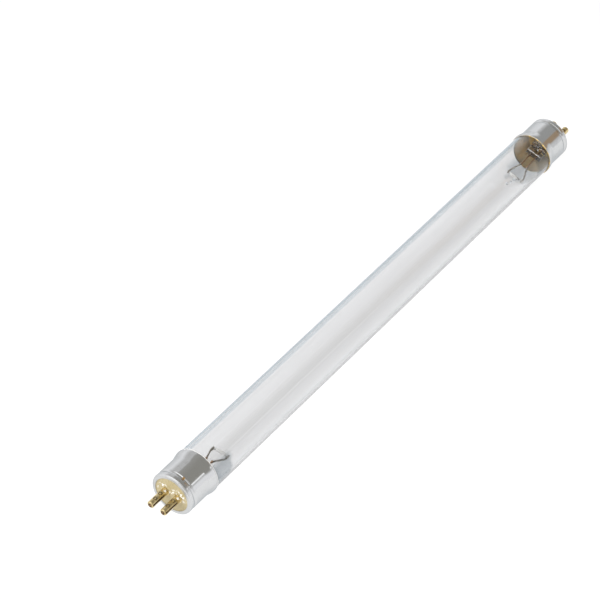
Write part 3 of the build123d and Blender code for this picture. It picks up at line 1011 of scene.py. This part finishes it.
class LAMP_OT_cement(bpy.types.Operator):
    """Make the cement between the caps and the glass, with an uneven bead at each mouth"""

    bl_idname = "lamp.cement"
    bl_label = "Cement"

    def execute(self, context):
        cap = context.scene.lamp_cap
        tube = context.scene.lamp_tube
        _, neck, slope_end = tube_stations(tube)
        back = CAP_LENGTH - cap.cement_length
        body = TUBE_RADIUS - cap.body_step - cap.sheet
        inner = COLLAR_RADIUS - cap.sheet
        shoulder_b = CAP_LENGTH - cap.collar
        wet = tube.radius - cap.cement_bite
        small = wet - tube.neck_drop
        bead_end = CAP_LENGTH + cap.bead
        shoulder_a = shoulder_b - cap.shoulder
        cap_side = [(back, body), (shoulder_a, body), (shoulder_b, inner), (CAP_LENGTH, inner)]
        crown = inner + 0.75 * cap.sheet
        crown_end = CAP_LENGTH + 0.55 * cap.bead
        bead = rounded(
            [(CAP_LENGTH, inner), (CAP_LENGTH, crown), (crown_end, crown), (bead_end, wet)],
            [0.12 * cap.bead, 0.24 * cap.bead])
        glass_side = rounded(
            [(back, small), (neck, small), (slope_end, wet), (bead_end, wet)], [tube.neck_blend] * 2)
        outline = closed(cap_side + bead[1:] + list(reversed(glass_side))[1:])
        waves, ends_apart, broad_wave, fine_wave = 3.0, 7.0, 0.25, 0.17
        beads = {
            # At the left end the thin edge is painted near white: a painted highlight along the mouth.
            "left": (cap.left_bead, [cap.bead_highlight] * 3),
            "right": (cap.right_bead, [cap.bead_colour, cap.bead_gold, cap.bead_grey])}
        for seed, end in enumerate(ENDS):
            full, edge_colours = beads[end]
            finish = cement_finish(f"{end}_baked_cement", cap, edge_colours)

            def uneven(distance, radius, angle, seed=seed, full=full):
                """The bead made shorter, with broad and fine waves round its edge."""
                beyond = max(distance - CAP_LENGTH, 0.0) / cap.bead
                broad = Vector((waves * cos(angle), waves * sin(angle), ends_apart * seed))
                wave = broad_wave * noise.noise(broad) + fine_wave * noise.noise(3 * broad)
                return distance + beyond * (wave + full - 1) * cap.bead, radius

            ring = lathe(outline, cap.segments, uneven)
            add_piece(f"{end}_cement_ring", ring, finish, [f"{end}_cement"], place_of(end))
        return {"FINISHED"}


class LAMP_OT_boards(bpy.types.Operator):
    """Finish the tan boards that hold the pins"""

    bl_idname = "lamp.boards"
    bl_label = "Insulating boards"

    def execute(self, context):
        finish = board_finish(context.scene.lamp_cap)
        for end in ENDS:
            dress(f"{end}_insulator", finish)
        return {"FINISHED"}


class LAMP_OT_pins(bpy.types.Operator):
    """Make the four hollow pins with their flanges, rivet heads and crimp dents"""

    bl_idname = "lamp.pins"
    bl_label = "Contact pins"

    def execute(self, context):
        pin = context.scene.lamp_pin
        sheet = context.scene.lamp_cap.sheet
        back = sheet + pin.board
        foot = sheet - pin.flange
        throat = -pin.length + pin.tip_wall
        rivet_end = back + pin.rivet
        nose = rounded(
            [(pin.dimple - pin.length, pin.hole), (-pin.length, pin.hole + pin.dimple),
             (-pin.length, pin.radius), (foot, pin.radius)],
            [pin.edge, pin.nose])
        shaft_start = pin.nose - pin.length
        step = (foot - shaft_start) / pin.steps
        shaft = [Vector((shaft_start + step * i, pin.radius)) for i in range(1, pin.steps)]
        rest = rounded(
            [(foot, pin.radius), (foot, pin.flange_radius), (sheet, pin.flange_radius), (sheet, pin.shank),
             (back, pin.shank), (back, pin.rivet_radius), (rivet_end, pin.rivet_radius),
             (rivet_end, pin.bore), (throat + pin.bore - pin.hole, pin.bore), (throat, pin.hole),
             (pin.dimple - pin.length, pin.hole)],
            [pin.foot_round, pin.edge, 0, 0, 0, 0, pin.edge, pin.edge, 0, 0])
        outline = nose[:-1] + shaft + rest
        on_shaft = 0.9 * pin.radius
        dent_floor = 0.35 * pin.dent_length
        dent_slope = 0.55 * pin.dent_length

        def dent(distance, radius, angle):
            """How deep the dents are at a point, from 0 to 1."""
            if radius < on_shaft or distance > foot:
                return 0.0
            off = min(abs(angle - pi / 2), abs(angle - 3 * pi / 2))
            runs = [max(abs(distance + at) - dent_floor, 0.0) for at in (pin.first_dent, pin.second_dent)]
            return bump_at(min(runs), dent_slope) * bump_at(off, pin.dent_spread)

        def pressed(distance, radius, angle):
            """The shaft with its dents."""
            return distance, radius - pin.dent_depth * dent(distance, radius, angle)

        def mark_at(point):
            """Above 0 where the brass is darkened, by tarnish and by painted shade and reflection, and below
            0 at its painted glint.
            """
            radius = hypot(point.y, point.z)
            angle = atan2(point.z, point.y) % (2 * pi)
            # The dents are darkened: tarnish, with painted shade in their hollows.
            tarnish_and_shade = dent(point.x, radius, angle)
            if radius > on_shaft:
                # Painted reflection: a dark streak along one side of the shaft.
                streak = bump_at(pin.radius * (angle - pin.streak_turn), pin.streak_width)
                streak *= ease(0, pin.streak, (-point.x - pin.glint_at) / pin.first_dent)
                tarnish_and_shade = max(tarnish_and_shade, streak)
            # Painted shade round the nose hole.
            near_hole = bump_at(max(point.x + pin.length, 0.0), pin.dark_nose_depth)
            near_hole *= bump_at(radius, pin.dark_nose_width)
            # Painted highlight: a bright spot on the shaft near the foot.
            off_glint = hypot(point.x + pin.glint_at, pin.radius * (angle - pin.glint_turn))
            return max(tarnish_and_shade, near_hole) - bump_at(off_glint, pin.glint_size)

        finish = brass_finish(pin)
        for end in ENDS:
            for side, name in SIDES[end].items():
                place = place_of(end) @ Matrix.Translation((0, side * pin.pitch / 2, 0))
                surface = lathe(outline, pin.segments, pressed)
                marks = [mark_at(v.co) for v in surface.verts]
                solids = [f"{end}_{name}_pin"]
                piece = add_piece(f"{end}_{name}_contact", surface, finish, solids, place)
                set_mark(piece, marks)
        return {"FINISHED"}


class LAMP_OT_stems(bpy.types.Operator):
    """Make the flared and pinched glass stems, and the exhaust tube of the right end"""

    bl_idname = "lamp.stems"
    bl_label = "Glass stems"

    def execute(self, context):
        stem = context.scene.lamp_stem
        tube = context.scene.lamp_tube
        wire = context.scene.lamp_wire
        pin = context.scene.lamp_pin
        seal, flare, blend, pinch = stem_stations(stem)
        seal_radius = tube.radius - tube.neck_drop - tube.wall
        air = stem.radius - stem.wall
        floor = flare + stem.hollow
        n = stem.segments
        half_w, half_t = stem.pinch_width / 2, stem.pinch_thickness / 2
        edge = stem.edge
        hollow_steps, blend_steps, pinch_steps, edge_steps = 8, 12, 8, 6

        def round_rings(points):
            """Rings about the axis through the points of an outline."""
            return [oval(x, r, r, ROUND, n) for x, r in points]

        def over_wires(ring):
            """Raise the pinch a little over the two sealed wires."""
            for p in ring:
                off = min(abs(p.y - wire.seal_pitch / 2), abs(p.y + wire.seal_pitch / 2))
                p.z += (1 if p.z >= 0 else -1) * stem.ridge * bump_at(off, stem.ridge_spread)
            return ring

        def frost_and_highlight_at(point):
            """How much frosting and painted highlight the pinch has at a point, along its end and its side
            edges, more on the upper side.
            """
            end_edge = bump_at(point.x - (pinch - 0.4 * edge), 0.6 * edge)
            end_edge *= ease(0, 1, abs(point.z) / half_t * 4 - 3)
            side_edge = ease(0, 1, abs(point.y) / half_w * 12 - 11) * ease(0, 1, (point.x - blend) / edge)
            # Painted highlight: the side edges are whiter on the upper side.
            side_edge *= ease(0.5, 1, 4 * point.z / half_t - 2)
            return max(end_edge, side_edge)

        inside = rounded(
            [(TUBE_INSET, seal_radius - stem.wall), (TUBE_INSET + stem.bell_lean, air), (flare, air)],
            [stem.bell_round + stem.wall])
        outside = rounded(
            [(seal, seal_radius), (seal + stem.bell_lean, stem.radius), (flare, stem.radius)],
            [stem.bell_round])
        bell_rings = round_rings(list(reversed(inside))[1:])
        bell_rings += round_rings([(TUBE_INSET, seal_radius)])
        bell_rings += round_rings(outside)
        finish = stem_finish(stem)
        for end in ENDS:
            mount = mount_of(end, stem)

            def moved(ring, t):
                """A ring on its way from the axis to the mount's place."""
                return [p.lerp(mount @ p, t) for p in ring]

            rings = [[mount @ Vector((floor, 0, 0))]]
            for i in range(hollow_steps + 1):
                t = 1 - i / hollow_steps
                wide, tall = ease(air, stem.hollow_width / 2, t), ease(air, stem.hollow_thickness / 2, t)
                rings.append(moved(oval(flare + t * stem.hollow, wide, tall, ROUND, n), ease(0, 1, t)))
            rings += bell_rings
            for i in range(1, blend_steps + 1):
                t = i / blend_steps
                wide, tall = ease(stem.radius, half_w, t), ease(stem.radius, half_t, t)
                power = ROUND + (FLAT - ROUND) * t * t
                rings.append(moved(oval(flare + t * stem.blend, wide, tall, power, n), ease(0, 1, t)))
            for i in range(1, pinch_steps + 1):
                x = blend + (pinch - blend - edge) * i / pinch_steps
                rings.append(moved(over_wires(oval(x, half_w, half_t, FLAT, n)), 1))
            for i in range(1, edge_steps + 1):
                a = pi / 2 * i / edge_steps
                x = pinch - edge * (1 - sin(a))
                inset = edge * (1 - cos(a))
                rings.append(moved(oval(x, half_w - inset, half_t - inset, FLAT, n), 1))
            rings.append([mount @ Vector((pinch, 0, 0))])
            surface = skin(rings)
            if end == "right":
                corner = (floor + stem.port, 0, 0)
                inwards = [(floor - stem.hollow / 2, 0, 0), corner]
                upwards = [corner, (floor + stem.port, 0, stem.radius)]
                for run in (inwards, upwards):
                    path = [mount @ Vector(point) for point in run]
                    surface = bored(surface, skin(wire_rings(path, stem.exhaust_bore, stem.port_sides)))
            back_to_axis = mount.inverted()
            marks = [frost_and_highlight_at(back_to_axis @ v.co) for v in surface.verts]
            name = f"{end}_stem"
            piece = add_piece(f"{name}_glass", surface, finish, [name], place_of(end))
            set_mark(piece, marks)

        tip = context.scene.lamp_cap.sheet + pin.board + pin.rivet + stem.exhaust_gap
        full = tip + stem.exhaust_tip
        nib = (tip + 0.12 * MM, 0.22 * MM)
        waist = (tip + 0.35 * stem.exhaust_tip, 0.4 * MM)
        nib_round, waist_round, full_round, bore_round = 0.08 * MM, 0.3 * MM, 0.6 * MM, 0.1 * MM
        outline = rounded(
            [(tip, 0), nib, waist, (full, stem.exhaust_radius), (floor, stem.exhaust_radius),
             (floor, stem.exhaust_bore), (full + stem.exhaust_bore, stem.exhaust_bore), (full, 0)],
            [nib_round, waist_round, full_round, 0, 0, bore_round])
        place = place_of("right") @ mount_of("right", stem)
        nipple = lathe(outline, stem.exhaust_segments)
        add_piece("exhaust_nipple", nipple, finish, ["exhaust_tube"], place)
        return {"FINISHED"}


class LAMP_OT_wires(bpy.types.Operator):
    """Make the sealed wires and the inner leads with their clamps, and finish the outer leads"""

    bl_idname = "lamp.wires"
    bl_label = "Lead wires"

    def execute(self, context):
        scene = context.scene
        wire = scene.lamp_wire
        _, flare, _, pinch = stem_stations(scene.lamp_stem)
        start = flare + scene.lamp_stem.hollow
        knot_x = knot_station(scene)
        clamp_x = knot_x + wire.inner_reach
        low = clamp_height_of(wire)
        sealed = wire_finish("sealed_copper", wire.sealed, wire.sealed_dark, metallic=0.85, roughness=0.3)
        nickel = wire_finish("dull_nickel", wire.nickel, wire.nickel_dark, metallic=0.6, roughness=0.42)
        copper = wire_finish("drawn_copper", wire.copper, wire.sealed, metallic=1.0, roughness=0.25)
        for end in ENDS:
            place = place_of(end) @ mount_of(end, scene.lamp_stem)
            for side, name in SIDES[end].items():
                y = side * wire.seal_pitch / 2
                knot_at = Vector((knot_x, y, -wire.seal_drop))
                bend = (pinch + wire.seal_straight, y, 0)
                path = rounded([(start, y, 0), bend, knot_at], [wire.seal_bend])
                lead = skin(wire_rings(path, wire.seal_radius, wire.seal_sides))
                weld = self.knot(wire)
                bmesh.ops.transform(weld, matrix=Matrix.Translation(knot_at), verts=weld.verts)
                add_piece(f"{end}_{name}_sealed_lead", join(lead, weld), sealed,
                          [f"{end}_{name}_seal_wire"], place)
                tip = Vector((clamp_x, side * wire.tip_pitch / 2, low))
                inner = self.clamped(wire, knot_at, tip)
                add_piece(f"{end}_{name}_clamped_lead", inner, nickel,
                          [f"{end}_{name}_inner_lead"], place)
                dress(f"{end}_{name}_outer_lead", copper)
        return {"FINISHED"}

    @staticmethod
    def knot(wire):
        """The welded knot, longer than it is thick."""
        steps, fullness = 16, 0.6
        outline = []
        for i in range(steps + 1):
            a = pi * i / steps
            outline.append((wire.knot / 2 * -cos(a), wire.knot_radius * sin(a) ** fullness))
        return lathe(outline, wire.knot_segments)

    def clamped(self, wire, knot_at, tip):
        """An inner lead from its knot to its tip, where it is folded flat into a round-ended clamp."""
        lead_steps, clamp_steps = 9, 12
        round_end, end_loss = 0.1, 0.85
        before_clamp = 0.4 * MM
        run = (tip - knot_at).normalized()
        radius = wire.inner_radius
        rings = [[knot_at]]
        for i in range(lead_steps + 1):
            point = knot_at.lerp(tip - run * before_clamp, i / lead_steps)
            rings.append(self.section(point, run, radius, radius, ROUND, wire.inner_sides))
        for i in range(1, clamp_steps + 1):
            t = i / clamp_steps
            flat = ease(0, 1, t * 3)
            heading = run.lerp(Vector((1, 0, 0)), min(3 * t, 1)).normalized()
            off = max(t - (1 - round_end), 0) / round_end
            shrink = sqrt(1 - end_loss * off * off)
            wide = (radius + (wire.clamp_width / 2 - radius) * flat) * shrink
            tall = (radius + (wire.clamp_height / 2 - radius) * flat) * shrink
            point = tip + Vector((wire.clamp * t, 0, 0))
            rings.append(self.section(point, heading, wide, tall, ROUND + 3 * flat, wire.inner_sides))
        rings.append([tip + Vector((wire.clamp, 0, 0))])
        return skin(rings)

    @staticmethod
    def section(point, heading, wide, tall, power, sides):
        """A ring across a heading, wide along Y and tall along Z."""
        up = Vector((0, 0, 1))
        across = up.cross(heading).normalized()
        up = heading.cross(across)
        return [point + p.y * across + p.z * up for p in oval(0, wide, tall, power, sides)]


class LAMP_OT_cathodes(bpy.types.Operator):
    """Make the cathodes: a fine wire wound into a strand, coiled between two legs"""

    bl_idname = "lamp.cathodes"
    bl_label = "Cathodes"

    def execute(self, context):
        scene = context.scene
        wire = scene.lamp_wire
        low = clamp_height_of(wire)
        leg_x = knot_station(scene) + wire.inner_reach + wire.clamp_to_leg
        ring = wire.coil_radius
        length = wire.turns * hypot(2 * pi * ring, wire.coil / wire.turns)
        winds = round(length / wire.strand_pitch)
        steps_per_wind, steps_per_core = 12, 8
        steps = winds * steps_per_wind
        path = []
        core = []
        for i in range(steps + 1):
            t = i / steps
            a = 2 * pi * wire.turns * t
            out = Vector((-cos(a), 0, -sin(a)))
            point = Vector((leg_x + ring, wire.coil * (t - 0.5), low)) + ring * out
            heading = Vector((ring * sin(a), wire.coil / (2 * pi * wire.turns), -ring * cos(a))).normalized()
            side = heading.cross(out)
            if i % steps_per_core == 0:
                core.append(point)
            b = 2 * pi * winds * t
            path.append(point + (wire.strand - wire.strand_wire) * (cos(b) * out + sin(b) * side))
        reach = wire.tip_pitch / 2 + wire.clamp_width / 2 + wire.leg_over
        finish = cathode_finish(wire)
        for end in ENDS:
            coil = skin(wire_rings(path, wire.strand_wire, wire.strand_sides))
            legs = [skin(wire_rings(core, wire.strand - wire.strand_wire, wire.core_sides))]
            for side in (-1, 1):
                leg = [Vector((leg_x, side * y, low)) for y in (wire.coil / 2 - wire.strand, reach)]
                legs.append(skin(wire_rings(leg, wire.strand, wire.leg_sides)))
            place = place_of(end) @ mount_of(end, scene.lamp_stem)
            whole = join(coil, *legs)
            add_piece(f"{end}_cathode_coil", whole, finish, [f"{end}_filament"], place)
        return {"FINISHED"}


class LAMP_OT_mercury(bpy.types.Operator):
    """Make the mercury drops that lie on the lower wall"""

    bl_idname = "lamp.mercury"
    bl_label = "Mercury drops"

    def execute(self, context):
        tube = context.scene.lamp_tube
        finish = mercury_finish(tube)
        bore = TUBE_RADIUS - tube.wall
        steps, segments = 40, 64
        flat_foot, fullness = 0.72, 0.9
        for number in (1, 2, 3):
            name = f"mercury_drop_{number}"
            low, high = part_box(name)
            radius = (high.x - low.x) / 2
            centre = (low + high) / 2
            lean = atan2(centre.y, -centre.z)
            outline = []
            for i in range(steps + 1):
                a = pi * i / steps
                height = max(-cos(a), -flat_foot)
                outline.append((radius * height, radius * sin(a) ** fullness if 0 < i < steps else 0.0))
            drop = lathe(outline, segments)
            middle = bore - flat_foot * radius
            foot = Vector((centre.x, middle * sin(lean), -middle * cos(lean)))
            stand = Matrix.Rotation(lean, 4, "X") @ Matrix.Rotation(-pi / 2, 4, "Y")
            place = Matrix.Translation(foot) @ stand
            add_piece(f"mercury_bead_{number}", drop, finish, [name], place)
        return {"FINISHED"}


class LAMP_OT_stage(bpy.types.Operator):
    """Set the floor, the soft light and the camera"""

    bl_idname = "lamp.stage"
    bl_label = "Stage"

    def execute(self, context):
        scene = context.scene
        stage = scene.lamp_stage
        self.lay_floor(scene, stage)
        self.light_room(scene, stage)
        self.stand_camera(scene, stage)
        scene.view_settings.view_transform = "Standard"
        scene.view_settings.look = "None"
        scene.cycles.blur_glossy = 0.0
        return {"FINISHED"}

    def lay_floor(self, scene, stage):
        """A wide flat floor under the lamp."""
        bm = bmesh.new()
        bmesh.ops.create_grid(bm, x_segments=8, y_segments=8, size=stage.floor_side / 2)
        mesh = bpy.data.meshes.new("floor")
        bm.to_mesh(mesh)
        bm.free()
        mesh.materials.append(floor_finish(stage))
        floor = bpy.data.objects.new("floor", mesh)
        floor.location.z = FLOOR_HEIGHT
        scene.collection.objects.link(floor)
        floor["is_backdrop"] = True

    def light_room(self, scene, stage):
        """Bands of light and dark round the lamp, a slit, and two light boxes, softer when mirrored."""
        world = bpy.data.worlds.new("soft_room")
        world.use_nodes = True
        scene.world = world
        tree = world.node_tree
        tree.nodes.clear()
        coords = node(tree, "ShaderNodeTexCoord").outputs["Generated"]
        axes = node(tree, "ShaderNodeSeparateXYZ", {"Vector": coords}).outputs
        angle = maths(tree, "ARCTAN2", product(tree, axes["Y"], -1.0), axes["Z"])
        place = rising(tree, angle, -pi, pi)

        def to_right(start, end):
            """How far a direction points to the lamp's right end."""
            return rising(tree, axes["X"], start, end)

        light, dark = stage.light, stage.dark
        mid = [0.62 * a + 0.38 * b for a, b in zip(light, dark)]
        dim = [0.86 * a + 0.14 * b for a, b in zip(dark, light)]
        fair = [stage.fair_gain * c for c in light]
        slit, box, small_box, limit = (
            [level] * 3 for level in (stage.slit, stage.box, stage.small_box, stage.mirror_limit))
        pale, brown = stage.pale_wall, stage.brown_wall

        rear = ((-100, light), (-88, fair), (-70, fair), (-54, mid), (-28, mid), (-24, dim), (8, dark))
        front = ((68, mid), (72, fair), (92, fair), (104, light))
        near = self.bands(tree, place, (*rear, (62, dark), *front))
        beside = self.bands(tree, place, (*rear, (55, dark), (57, slit), (61, slit), (62, mid), *front))
        far = self.bands(tree, place, (
            (-112, light), (-100, fair), (-50, fair), (-34, mid), (-22, pale), (26, pale),
            (30, brown), (57, brown), (64, mid), (80, light)))
        right = blended(tree, to_right(0.3, 0.4), near, beside)
        right = blended(tree, to_right(0.58, 0.66), right, far)

        overhead = self.bands(tree, place, (
            (-84, light), (-48, box), (-2, box), (12, dim), (56, dim), (74, light)))
        ahead = self.bands(tree, place, (
            (-40, mid), (-22, small_box), (42, small_box), (54, mid), (74, light)))
        left = blended(tree, to_right(-0.38, -0.33), overhead, ahead)
        left = blended(tree, to_right(-0.94, -0.68), light, left)

        colour = blended(tree, to_right(-0.23, -0.18), left, right)
        path = node(tree, "ShaderNodeLightPath").outputs
        mirrored = product(tree, path["Is Glossy Ray"], path["Is Reflection Ray"])
        softer = node(tree, "ShaderNodeVectorMath", {0: colour, 1: limit}, operation="MINIMUM")
        colour = blended(tree, mirrored, colour, softer.outputs["Vector"])
        sky = node(tree, "ShaderNodeBackground", {"Color": colour, "Strength": 1.0})
        node(tree, "ShaderNodeOutputWorld", {"Surface": sky.outputs["Background"]})

    @staticmethod
    def bands(tree, place, stops):
        """Colours by angle about the lamp's axis, in degrees from straight up."""
        ramp = node(tree, "ShaderNodeValToRGB", {"Fac": place})
        elements = ramp.color_ramp.elements
        elements.remove(elements[1])
        for i, (degrees, colour) in enumerate(stops):
            at = (degrees + 180) / 360
            stop = elements[0] if i == 0 else elements.new(at)
            stop.position = at
            stop.color = solid(colour)
        return ramp.outputs["Color"]

    def stand_camera(self, scene, stage):
        """A long lens that looks down along the lamp."""
        data = bpy.data.cameras.new("camera")
        data.sensor_fit = "HORIZONTAL"
        data.sensor_width = stage.sensor
        data.lens = stage.lens
        camera = bpy.data.objects.new("camera", data)
        place = Vector(stage.camera_place)
        sight = (Vector(stage.camera_aim) - place).to_track_quat("-Z", "Y").to_matrix().to_4x4()
        camera.matrix_world = Matrix.Translation(place) @ sight @ Matrix.Rotation(stage.camera_roll, 4, "Z")
        scene.collection.objects.link(camera)
        scene.camera = camera


SETTINGS = {
    "lamp_tube": LampTubeSettings,
    "lamp_cap": LampCapSettings,
    "lamp_pin": LampPinSettings,
    "lamp_stem": LampStemSettings,
    "lamp_wire": LampWireSettings,
    "lamp_stage": LampStageSettings,
}

OPERATORS = (
    LAMP_OT_stage, LAMP_OT_tube, LAMP_OT_caps, LAMP_OT_cement, LAMP_OT_boards, LAMP_OT_pins, LAMP_OT_stems,
    LAMP_OT_wires, LAMP_OT_cathodes, LAMP_OT_mercury,
)


class LAMP_PT_looks(bpy.types.Panel):
    """Lists the lamp's pieces and their settings"""

    bl_idname = "LAMP_PT_looks"
    bl_label = "Germicidal lamp"
    bl_space_type = "VIEW_3D"
    bl_region_type = "UI"
    bl_category = "Lamp"

    def draw(self, context):
        for operator in OPERATORS:
            self.layout.operator(operator.bl_idname)
        for key, group in SETTINGS.items():
            group_box = self.layout.box()
            group_box.label(text=group.__doc__)
            settings = getattr(context.scene, key)
            for name in group.__annotations__:
                group_box.prop(settings, name)


CLASSES = (*SETTINGS.values(), *OPERATORS, LAMP_PT_looks)


def register():
    """Add the settings, operators and panel."""
    for cls in CLASSES:
        bpy.utils.register_class(cls)
    for key, group in SETTINGS.items():
        setattr(bpy.types.Scene, key, PointerProperty(type=group))


def unregister():
    """Take the settings, operators and panel away again."""
    for key in SETTINGS:
        delattr(bpy.types.Scene, key)
    for cls in reversed(CLASSES):
        bpy.utils.unregister_class(cls)


def main():
    """Build the lamp's looks and work out its size."""
    register()
    bpy.ops.lamp.stage()
    bpy.ops.lamp.tube()
    bpy.ops.lamp.caps()
    bpy.ops.lamp.cement()
    bpy.ops.lamp.boards()
    bpy.ops.lamp.pins()
    bpy.ops.lamp.stems()
    bpy.ops.lamp.wires()
    bpy.ops.lamp.cathodes()
    bpy.ops.lamp.mercury()
    boxes = {"cad": CAD_BOX, "visual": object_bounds()}
    {key: [list(corner) for corner in box] for key, box in boxes.items()}


if __name__ == "__main__":
    main()
